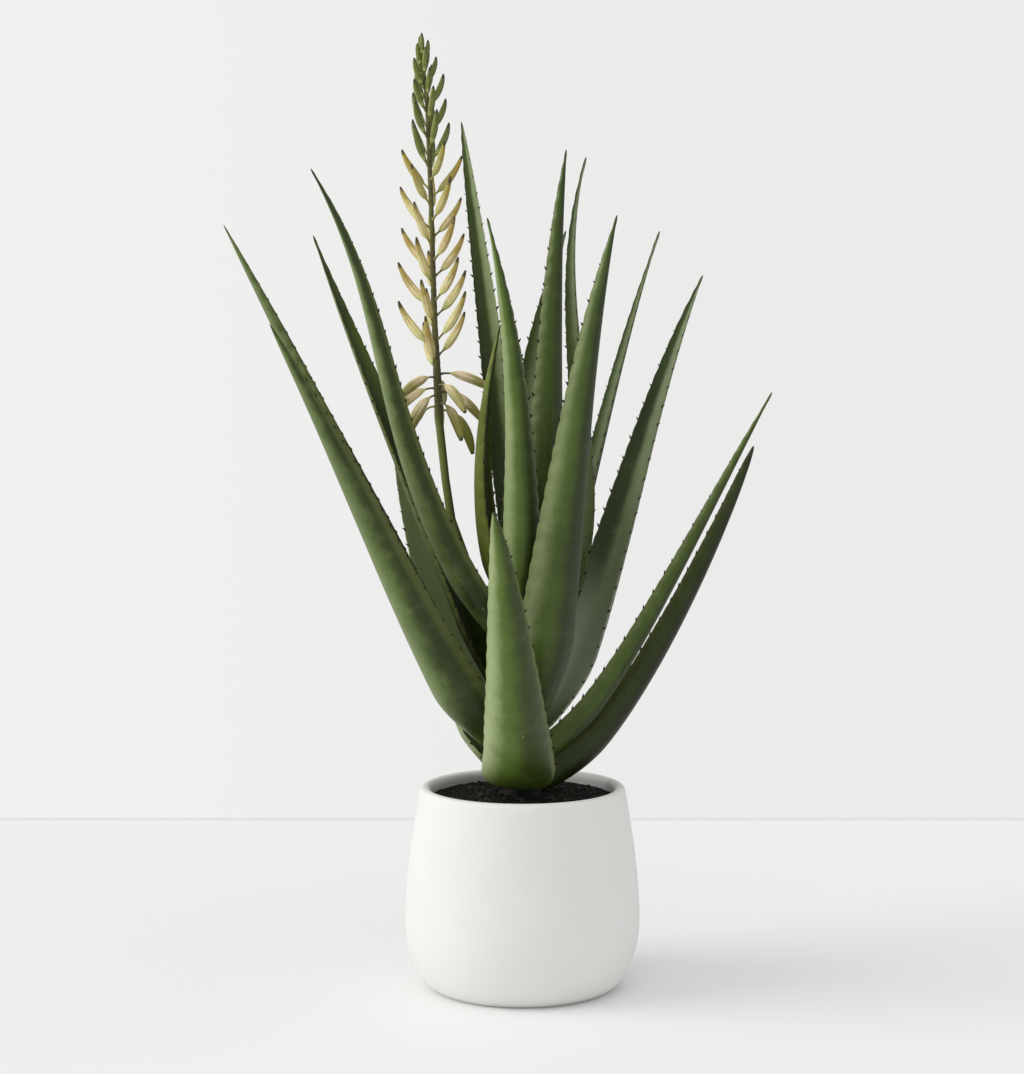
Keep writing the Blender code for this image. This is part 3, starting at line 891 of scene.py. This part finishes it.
def soil_shape():
    """A spun body that fills the pot, with its flat top lifted to the soil's level."""
    widest = POT_BELLY - POT_WALL - 0.0010
    top = [(SOIL_RADIUS * i / SOIL_RINGS, SOIL_EDGE) for i in range(SOIL_RINGS + 1)]
    side = [(0.0800, 0.1560), (0.0850, 0.131), (widest, 0.092), (widest, 0.058)]
    below = [(0.0870, 0.028), (0.0740, 0.0125), (0.0640, 0.0105), (0, 0.0105)]
    shape = spun(top + side + below, SOIL_STEPS)
    shape.verts.layers.float.new("grit")
    for vert in shape.verts:
        if abs(vert.co.z - SOIL_EDGE) < 0.00001:
            vert.co.z = soil_level(vert.co.x, vert.co.y)
    return shape


def strewn(share, least):
    """A random place on the soil, within a share of its radius."""
    angle = soil_chance.uniform(0, 2 * pi)
    radius = SOIL_RADIUS * share * soil_chance.uniform(least, 1) ** 0.5
    return radius * cos(angle), radius * sin(angle)


def crumb_shape(count):
    """Loose crumbs: rough lumps of a few dozen faces, more small ones than large."""
    shape = bmesh.new()
    layer = shape.verts.layers.float.new("grit")
    for _ in range(count):
        x, y = strewn(0.965, 0.03)
        size = CRUMB_LEAST + CRUMB_RANGE * soil_chance.random() ** 3
        made = bmesh.ops.create_icosphere(shape, subdivisions=1, radius=size)["verts"]
        tone = soil_chance.random()
        for vert in made:
            vert[layer] = tone
            vert.co *= soil_chance.uniform(0.65, 1.25)
        angle = soil_chance.uniform(0, pi)
        turn = Matrix.Rotation(angle, 4, Vector((1, soil_chance.random(), 0.3)))
        squash = Matrix.Diagonal((1.2, 0.9, soil_chance.uniform(0.5, 0.9), 1))
        seat = Matrix.Translation((x, y, soil_level(x, y) + size * 0.30))
        bmesh.ops.transform(shape, matrix=seat @ turn @ squash, verts=made)
    return shape


def fibre_shape(count):
    """Thin bent threads of peat and bark lying on the soil."""
    shape = bmesh.new()
    shape.verts.layers.float.new("grit")
    for _ in range(count):
        middle_x, middle_y = strewn(0.90, 0.05)
        turn = soil_chance.uniform(0, 2 * pi)
        length = soil_chance.uniform(*FIBRE_LENGTHS)
        bend = soil_chance.uniform(-1.2, 1.2)
        thick = soil_chance.uniform(*FIBRE_THICKNESSES)
        thread = round_stock(4, 5)
        tone = thread.verts.layers.float.new("grit")
        shade = soil_chance.uniform(0.75, 1)
        for vert in thread.verts:
            x, y, t = vert.co
            way = turn + bend * (t - 0.5)
            px = middle_x + cos(way) * length * (t - 0.5) - sin(way) * x * thick
            py = middle_y + sin(way) * length * (t - 0.5) + cos(way) * x * thick
            lift = soil_level(px, py) + FIBRE_LIFT + FIBRE_ARCH * t * (1 - t) * 4
            vert.co = (px, py, lift + y * thick)
            vert[tone] = shade
        merge_shape(shape, thread, ["grit"])
    face_out(shape)
    return shape


# %% Soil material
peat, tree, shader = new_material("dark_peat", 0.95, 0.2)
where = place(tree)
grit = attribute(tree, "grit")
fine_peat = clouds(where, 900, 4, 0.7)
tone = lay(srgb(17, 18, 17), [
    (fade(fine_peat, 0.35, 0.7), srgb(46, 47, 43)),
    (fade(clouds(where, 140, 3), 0.45, 0.7, 0, 0.6), srgb(26, 23, 18)),
    (fade(grit, 0.35, 0.75, 0, 0.6), srgb(44, 40, 33)),
    (fade(grit, 0.9, 0.98, 0, 0.7), srgb(104, 104, 92)),
])
wear(shader, tone)
bump(shader, fine_peat, 0.0010, 0.9)

finish_piece(soil_shape(), "fine_soil", peat, "potting_soil", "soil", 80)
finish_piece(crumb_shape(CRUMB_COUNT), "soil_crumbs", peat, "potting_soil", sharp=80)
finish_piece(fibre_shape(FIBRE_COUNT), "soil_fibres", peat, "potting_soil", sharp=80)
print("soil made")

# %% [markdown]
# ## Crown stem
#
# The leaves grow on a short thick stem. What shows of it between the leaf feet is ringed with the
# scars of older leaves, green above and brown and corky where it enters the soil.

# %% Crown stem
STEM_TOP = 0.355
STEM_RINGS = 110
STEM_SIDES = 48
SCARS_PER_METRE = 520
SCAR_DEPTH = 0.04
STEM_PROFILE = ((0.0150, 0.112), (0.0168, 0.166), (0.0157, 0.215), (0.0125, 0.300), (0.0108, 0.345))


def stem_shape():
    """A spun stem whose wall swells in small uneven rings."""
    low, high = STEM_PROFILE[0][1], STEM_PROFILE[-1][1]
    line = [(0, low)]
    for i in range(STEM_RINGS + 1):
        height = low + (high - low) * i / STEM_RINGS
        pair = next(p for p in zip(STEM_PROFILE, STEM_PROFILE[1:]) if height <= p[1][1] + 1e-9)
        share = (height - pair[0][1]) / (pair[1][1] - pair[0][1])
        radius = pair[0][0] + (pair[1][0] - pair[0][0]) * share
        ring = abs(sin(height * SCARS_PER_METRE + 1.3 * sin(height * 90)))
        line.append((radius * (0.955 + SCAR_DEPTH * ring), height))
    line += [(0.0090, STEM_TOP - 0.004), (0.0050, STEM_TOP - 0.001), (0, STEM_TOP)]
    shape = spun(line, STEM_SIDES)
    for vert in shape.verts:
        ripple = 1 + 0.03 * noise.noise((vert.co.x * 90, vert.co.y * 90, vert.co.z * 60))
        vert.co.x *= ripple
        vert.co.y *= ripple
    return shape


bark, tree, shader = new_material("crown_skin", 0.7, 0.3)
where = place(tree)
height = part_of(where, "Z")
rings = clouds(stretched(where, (30, 30, 420)), 1, 3)
tone = lay(srgb(70, 66, 40), [
    (fade(height, 0.19, 0.24), srgb(92, 110, 52)),
    (fade(rings, 0.35, 0.7, 0, 0.7), srgb(66, 66, 40)),
    (fade(height, 0.2, 0.18), srgb(26, 24, 19)),
])
wear(shader, tone)
bump(shader, rings, 0.0008, 0.8)
finish_piece(stem_shape(), "fine_crown_stem", bark, "crown_green", "crown_stem", 70)

# %% [markdown]
# ## Flower stalk
#
# The stalk leaves the rosette beside an inner leaf and rises almost upright. It is faintly ribbed
# and thins towards the tip. Below each flower it carries a small papery bract, and its wall is a
# little swollen there. The line of the stalk is the one that its solid follows.

# %% The stalk's line
STALK = (
    (-0.0152, 0.0067, 0.2850, 0.0036),
    (-0.0300, 0.0105, 0.3180, 0.0038),
    (-0.0450, 0.0150, 0.3570, 0.0039),
    (-0.0610, 0.0200, 0.4010, 0.0038),
    (-0.0660, 0.0200, 0.4350, 0.0036),
    (-0.0710, 0.0200, 0.4820, 0.0036),
    (-0.0730, 0.0200, 0.5250, 0.0034),
    (-0.0750, 0.0200, 0.5670, 0.0026),
    (-0.0780, 0.0200, 0.6740, 0.0021),
    (-0.0810, 0.0200, 0.7580, 0.0019),
    (-0.0850, 0.0200, 0.7920, 0.0014),
    (-0.0860, 0.0200, 0.7985, 0.0009),
)


def stalk_at(height):
    """The middle and the radius of the stalk at a height, eased between the points of its line."""
    for (x0, y0, z0, r0), (x1, y1, z1, r1) in zip(STALK, STALK[1:]):
        if height <= z1:
            share = max((height - z0) / (z1 - z0), 0)
            return Vector((x0, y0, z0)).lerp(Vector((x1, y1, z1)), share), r0 + (r1 - r0) * share
    return Vector(STALK[-1][:3]), STALK[-1][3]


# %% [markdown]
# ## Where the flowers stand
#
# Flowers stand in a spiral, each a fixed angle round from the one below it. The lowest have opened
# and hang, the middle ones still rise and are cream with dark tips, and the highest are small green
# buds.

# %% The kinds of flower and their places
FLOWERS_FROM = 0.495
FLOWER_TURN = 142.9
FLOWER_FIRST_HEADING = 340
DROOPING_TWIST = 41.6
DROOPING_COUNT = 11
CREAM_COUNT = 25
BUD_COUNT = 3
TIP_BUDS = 23
TIP_BUD_SHORTEST = 0.5
DROOPING_LEAST_LEAN = 122
CREAM_LARGEST = 1.06
CREAM_SMALLEST = 0.86
CREAM_YOUNG = 0.6
DROOPING_GREEN = 0.5
FLOWER_STEM_END = 0.2

Flower = namedtuple("Flower", "name slot lean_start lean_end bend step length tip_lean stations")
Place = namedtuple("Place", "number kind height heading leans size young")
DROOPING = Flower(
    "flower_drooping", "drooping_flower", 58, 171, 0.32, 0.0031, 0.048, 0,
    ((0, 0.0012), (0.06, 0.0009), (0.19, 0.0010), (0.25, 0.0022), (0.36, 0.0038), (0.52, 0.0043),
     (0.72, 0.0040), (0.90, 0.0029), (1, 0.0014)),
)
CREAM = Flower(
    "flower_cream", "cream_flower", 66, 30, 0.35, 0.00675, 0.047, -12,
    ((0, 0.0012), (0.05, 0.0009), (0.14, 0.0010), (0.20, 0.0022), (0.29, 0.0033), (0.42, 0.0036),
     (0.60, 0.0032), (0.78, 0.0024), (0.92, 0.0016), (1, 0.0008)),
)
BUD = Flower(
    "bud_green", "green_bud", 55, 18, 0.4, 0.0052, 0.037, -14,
    ((0, 0.0012), (0.08, 0.0010), (0.18, 0.0018), (0.34, 0.0027), (0.55, 0.0029), (0.76, 0.0024),
     (0.92, 0.0015), (1, 0.0006)),
)


def flower_places():
    """The place of every flower, from the lowest up."""
    kinds = [DROOPING] * DROOPING_COUNT + [CREAM] * CREAM_COUNT + [BUD] * (BUD_COUNT + TIP_BUDS)
    height = FLOWERS_FROM
    for i, kind in enumerate(kinds):
        share = (i - kinds.index(kind)) / (kinds.count(kind) - 1)
        heading = FLOWER_FIRST_HEADING + FLOWER_TURN * i
        lean_start, lean_end = kind.lean_start, kind.lean_end
        size = 1
        young = 0
        if kind is DROOPING:
            heading += DROOPING_TWIST
            lean_end += (DROOPING_LEAST_LEAN - kind.lean_end) * share
            young = smooth_step(1 - share / DROOPING_GREEN)
        if kind is CREAM:
            size = CREAM_LARGEST + (CREAM_SMALLEST - CREAM_LARGEST) * share
            young = smooth_step((share - CREAM_YOUNG) / (1 - CREAM_YOUNG))
        if kind is BUD:
            size = 1 + (TIP_BUD_SHORTEST - 1) * share
            lean_start *= 1 - share**4
            lean_end *= 1 - share**4
        own_size = size * (1 + 0.05 * cos(1.7 * i))
        yield Place(i, kind, height, radians(heading), (lean_start, lean_end), own_size, young)
        height += kind.step * (size if kind is BUD else 1)


# %% Stalk mesh
STALK_SIDES = 24
STALK_RINGS = 260
STALK_LOOK = 0.012
RIB_COUNT = 9
RIB_DEPTH = 0.035
SEAT_HEIGHT = 0.0022
SEAT_SWELL = 0.09
BRACT_LENGTH = 0.0046
BRACT_LEAST = 0.6
BRACT_WIDTH = 0.0015
BRACT_THICKNESS = 0.0004
BRACT_DROP = 0.0016


def stalk_shape():
    """The stalk with its ribs, its swollen flower seats and its bracts."""
    shape = round_stock(STALK_SIDES, STALK_RINGS)
    bract, bloom = point_values(shape, ("bract", "bloom"))
    low, high = STALK[0][2], STALK[-1][2]
    seats = [at.height for at in flower_places()]
    for vert in shape.verts:
        x, y, t = vert.co
        height = low + (high - low) * t
        centre, radius = stalk_at(height)
        below, _ = stalk_at(height - STALK_LOOK)
        above, _ = stalk_at(height + STALK_LOOK)
        forward = (above - below).normalized() if above != below else UP
        side = forward.cross(Vector((0, 1, 0))).normalized()
        other = forward.cross(side)
        seat = max(1 - abs(height - s) / SEAT_HEIGHT for s in seats)
        angle = Vector((x, y)).angle_signed(Vector((1, 0))) if (x or y) else 0
        rib = 0.95 + RIB_DEPTH * cos(RIB_COUNT * angle) + SEAT_SWELL * max(seat, 0)
        vert.co = centre + (side * x + other * y) * radius * rib
    face_sun(shape, bloom)
    for at in flower_places():
        length = BRACT_LENGTH * max(at.size, BRACT_LEAST)
        add_bract(shape, bract, at.height, at.heading, length)
    return shape


def add_bract(shape, layer, height, heading, length):
    """A small pointed scale under one flower."""
    centre, radius = stalk_at(height)
    outward, sideways = compass(heading)
    cone = bmesh.ops.create_cone(shape, cap_ends=True, segments=6, radius1=1, radius2=0.08, depth=1)
    for vert in cone["verts"]:
        vert[layer] = 1
    rise = outward * length * 0.75 + UP * length * 0.55
    normal = sideways.cross(rise).normalized()
    basis = Matrix((sideways * BRACT_WIDTH, normal * BRACT_THICKNESS, rise)).transposed().to_4x4()
    seat = centre + outward * radius * 0.8 - UP * BRACT_DROP + rise * 0.4
    bmesh.ops.transform(shape, matrix=Matrix.Translation(seat) @ basis, verts=cone["verts"])


# %% Stalk material
stalk_skin, tree, shader = new_material("stalk_skin", 0.5, 0.4)
where = place(tree)
height = part_of(where, "Z")
streaks = clouds(stretched(where, (900, 900, 40)), 1, 3)
bloom = attribute(tree, "bloom")
stains = fade(clouds(where, 90, 3), 0.35, 0.6)
stained = times(stains, fade(height, 0.47, 0.51, 0.1, 0.6))
above = fade(height, 0.575, 0.54, 0.3, 1)
flowering = times(fade(height, 0.475, 0.5), above)
tone = lay(srgb(120, 136, 58), [
    (fade(height, 0.42, 0.62), srgb(112, 116, 58)),
    (fade(streaks, 0.4, 0.75, 0, 0.45), srgb(62, 62, 26)),
    # painted shade on the side turned away from the light, and a painted highlight on the side
    # facing it
    (fade(bloom, 0.58, 0.2, 0, 0.75), srgb(44, 44, 18)),
    (fade(bloom, 0.7, 1.00, 0, 0.5), srgb(152, 158, 92)),
    (stained, srgb(66, 50, 30)),
    (times(flowering, 0.6), srgb(70, 58, 34)),
    (attribute(tree, "bract"), srgb(134, 124, 74)),
])
wear(shader, tone)
bump(shader, streaks, 0.0004, 0.6)
finish_piece(stalk_shape(), "fine_flower_stalk", stalk_skin, "stalk_green", "flower_stalk", 50)

# %% [markdown]
# ## Flowers
#
# Each flower is a tube of six long petals on a thin curved stem. The petals lie edge to edge, so
# six grooves run down the tube, and they part a little at the mouth. A closed bud is the same tube,
# shorter and fuller. The tube is round stock again, with its radius pressed in along the grooves.

# %% Flower mesh
FLOWER_SIDES = 24
FLOWER_RINGS = 34
FLOWER_VALUES = ("along", "groove", "tone", "green", "bloom")
GROOVE_DEPTH = 0.13
GROOVE_OPENING = 0.3
PETAL_FULLNESS = 0.05
MOUTH_FROM = 0.92
MOUTH_BAND = 0.08
MOUTH_FLARE = 0.55
OPEN_MOUTH = 0.15
SHUT_MOUTH = 0.1


def station_radius(stations, share):
    """The radius along a flower, eased between its stations."""
    for (s0, r0), (s1, r1) in zip(stations, stations[1:]):
        if share <= s1:
            part = (share - s0) / (s1 - s0)
            before = next((r for s, r in reversed(stations) if s < s0), r0)
            after = next((r for s, r in stations if s > s1), r1)
            start, end = (r1 - before) / 2, (after - r0) / 2
            curve = r0 + start * part + (3 * (r1 - r0) - 2 * start - end) * part**2
            return max(curve + (2 * (r0 - r1) + start + end) * part**3, 0.0004)
    return stations[-1][1]


def flower_course(kind, base, heading, leans, length, count=60):
    """Points along the flower's middle, from the stalk outward."""
    outward, _ = compass(heading)
    points = [base]
    for i in range(count):
        share = (i + 0.5) / count
        lean = leans[0] + (leans[1] - leans[0]) * share**kind.bend + kind.tip_lean * share**4
        lean = radians(lean)
        way = outward * sin(lean) + UP * cos(lean)
        points.append(points[-1] + way * length / count)
    return points


def flower_shape(at, opening, chance):
    """One flower with its values: how far along it a point is, and how deep in a groove."""
    kind = at.kind
    outward, sideways = compass(at.heading)
    centre, stalk_radius = stalk_at(at.height)
    base = centre + outward * (stalk_radius * 0.9)
    points = flower_course(kind, base, at.heading, at.leans, kind.length * at.size)
    shape = round_stock(FLOWER_SIDES, FLOWER_RINGS)
    *layers, bloom = point_values(shape, FLOWER_VALUES)
    shade = chance.random()
    greenness = at.young * chance.uniform(0.60, 1)
    twist = chance.uniform(0, pi / 3)
    for vert in shape.verts:
        x, y, t = vert.co
        centre, forward = on_line(points, t, 1, 2)
        other = forward.cross(sideways)
        angle = Vector((1, 0)).angle_signed(Vector((x, y)), 0) + twist
        tube = smooth_step((t - FLOWER_STEM_END) / 0.1)
        pressed = abs(cos(3 * angle)) ** 5 * tube
        petal = 0.5 + 0.5 * cos(3 * angle + pi / 2)
        mouth = smooth_step((t - MOUTH_FROM) / MOUTH_BAND)
        radius = station_radius(kind.stations, t) * (1 + (at.size**0.5 - 1) * tube)
        pressing = (GROOVE_DEPTH + GROOVE_OPENING * mouth * opening) * pressed
        radius *= 1 - pressing + PETAL_FULLNESS * petal * tube
        radius *= 1 + MOUTH_FLARE * mouth * opening
        vert.co = centre + (sideways * x + other * y) * radius
        for layer, value in zip(layers, (t, pressed, shade, greenness)):
            vert[layer] = value
    face_sun(shape, bloom)
    return shape


# %% Flower materials
YOUNG_PETAL = srgb(146, 152, 72)
WARM_PETAL = srgb(240, 206, 168)


def petal_material(name, tones, reach, tip_from, warm=True):
    """Petal skin: a dark thin stem, a pale foot, and streaks that close into a dark tip. The colour
    of the streaks also paints shade on the side turned from the light, and the foot colour paints a
    highlight on the side that faces it.

    tones are the colours of its stem, foot, body, streaks, upper half and tip. reach is how far
    along the flower the darker upper half begins, and tip_from where the tip darkens. A warm skin
    is rosier on some flowers than on others.
    """
    stem, foot, body, streak_and_shade, upper, tip = [srgb(*tone) for tone in tones]
    made, tree, shader = new_material(name, 0.45, 0.4)
    where = place(tree)
    along = attribute(tree, "along")
    tone = attribute(tree, "tone")
    bloom = attribute(tree, "bloom")
    mottle = clouds(where, 240, 3)
    shifted = calc("ADD", along, fade(mottle, 0.25, 0.75, -0.05, 0.05))
    own_reach = calc("ADD", shifted, fade(tone, 0, 1, -0.09, 0.09))
    coats = [(fade(along, 0.13, 0.2), foot), (fade(along, 0.22, 0.36), body)]
    if warm:
        rosy = fade(tone, 0.3, 1, 0, 0.5)
        coats.append((times(rosy, fade(along, 0.2, 0.34)), WARM_PETAL))
    lines = calc("POWER", attribute(tree, "groove"), 1.3)
    deepening = fade(own_reach, 0.25, reach + 0.2, 0.18, 0.75)
    coats += [
        (times(attribute(tree, "green"), 0.95), YOUNG_PETAL),
        (times(lines, deepening), streak_and_shade),
        (fade(own_reach, reach, reach + 0.34, 0, 0.8), upper),
        (times(fade(mottle, 0.55, 0.8), 0.18), streak_and_shade),
        # painted shade on the side turned away from the light, and a painted highlight on the side
        # facing it
        (fade(bloom, 0.5, 0.1, 0, 0.6), streak_and_shade),
        (fade(bloom, 0.68, 0.98, 0, 0.4), foot),
        (fade(shifted, tip_from, tip_from + 0.1, 0, 0.92), tip),
    ]
    wear(shader, lay(stem, coats), fade(mottle, 0.2, 0.8, 0.38, 0.55))
    bump(shader, clouds(where, 1400, 2), 0.0002, 0.4)
    return made


CREAM_TONES = (
    (104, 106, 50), (226, 226, 154), (254, 242, 180), (150, 122, 54), (164, 140, 42), (54, 44, 24))
DROOPING_TONES = (
    (66, 60, 30), (222, 212, 152), (252, 232, 192), (118, 108, 50), (136, 136, 38), (58, 50, 26))
BUD_TONES = (
    (120, 126, 56), (182, 188, 112), (122, 132, 60), (48, 58, 20), (90, 100, 36), (40, 42, 22))
petals = {
    "flower_cream": petal_material("cream_petals", CREAM_TONES, 0.44, 0.84),
    "flower_drooping": petal_material("drooping_petals", DROOPING_TONES, 0.36, 0.90),
    "bud_green": petal_material("bud_skin", BUD_TONES, 0.56, 0.86, warm=False),
}

# %% Make the flowers
flower_count = DROOPING_COUNT + CREAM_COUNT + BUD_COUNT
numbers = {kind.name: 0 for kind in (DROOPING, CREAM, BUD)}
flower_chance = Random(23)
for at in flower_places():
    kind = at.kind
    numbers[kind.name] += 1
    opening = OPEN_MOUTH if kind is DROOPING else SHUT_MOUTH
    shape = flower_shape(at, opening, flower_chance)
    node = f"{kind.name}_{numbers[kind.name]:02d}" if at.number < flower_count else None
    name = "fine_" + node if node else f"tip_bud_{at.number - flower_count + 1:02d}"
    finish_piece(shape, name, petals[kind.name], kind.slot, node, 60)
print(at.number + 1, "flowers and buds")

# %% Measure the finished plant
worst = [(name, round(over * 1000, 1)) for name, _, over in sorted(report, key=lambda row: row[2])]
print("furthest outside their solids, mm:", worst[-4:])
plant_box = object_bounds()
growth = [plant_box[k][i] - frame_box[k][i] for k in (0, 1) for i in range(3)]
print("size growth, mm:", [round(value * 1000, 1) for value in growth])
